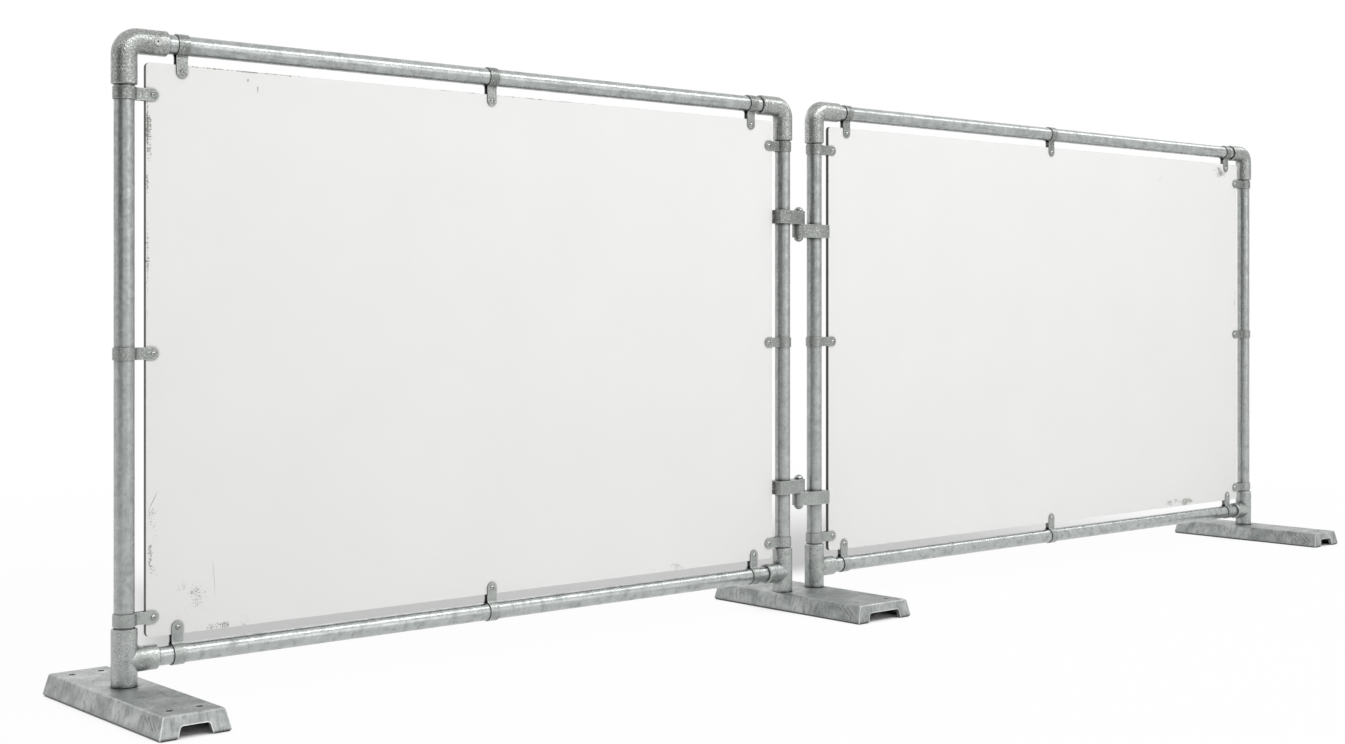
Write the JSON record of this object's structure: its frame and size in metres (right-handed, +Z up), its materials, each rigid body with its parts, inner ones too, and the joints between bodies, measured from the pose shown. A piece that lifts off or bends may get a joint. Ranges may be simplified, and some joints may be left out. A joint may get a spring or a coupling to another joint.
{
  "type": "temporary hoarding fence",
  "caption": "Free-standing temporary hoarding fence: bays of clamped steel tube with white boards held by clips, joined by pinned couplers and standing on low feet.",
  "frame": {"origin": "on the ground, halfway along the fence and in the middle of the length of the feet; the posts stand at y = 0.050", "axes": "+X along the fence, from the narrower bay to the wider one; +Z up; -Y is the face that the screw heads show on"},
  "size_m": [5.0684, 0.644, 1.6229],
  "materials": {
    "tube": "hot-dip galvanised",
    "casting": "hot-dip galvanised casting, slightly rough",
    "clip": "hot-dip galvanised strip",
    "fastener": "zinc plated",
    "board": "white phenolic-faced plywood with dark sealed edges, satin",
    "foot": "hot-dip galvanised casting"
  },
  "bodies": {
    "root": {"left_outer_post": "tube", "left_inner_post": "tube", "left_top_rail": "tube", "left_bottom_rail": "tube", "left_outer_elbow": "casting", "left_inner_elbow": "casting", "left_outer_tee": "casting", "left_inner_tee": "casting", "left_board": "board", "left_top_clips": "clip", "left_bottom_clips": "clip", "left_outer_clips": "clip", "left_inner_clips": "clip", "left_clip_screws": "fastener", "left_clip_nuts": "fastener", "left_grub_screws": "fastener", "right_outer_post": "tube", "right_inner_post": "tube", "right_top_rail": "tube", "right_bottom_rail": "tube", "right_outer_elbow": "casting", "right_inner_elbow": "casting", "right_outer_tee": "casting", "right_inner_tee": "casting", "right_board": "board", "right_top_clips": "clip", "right_bottom_clips": "clip", "right_outer_clips": "clip", "right_inner_clips": "clip", "right_clip_screws": "fastener", "right_clip_nuts": "fastener", "right_grub_screws": "fastener", "lower_left_link": "casting", "lower_right_link": "casting", "lower_pin": "fastener", "upper_left_link": "casting", "upper_right_link": "casting", "upper_pin": "fastener", "left_foot": "foot", "middle_foot": "foot", "right_foot": "foot"}
  },
  "joints": []
}
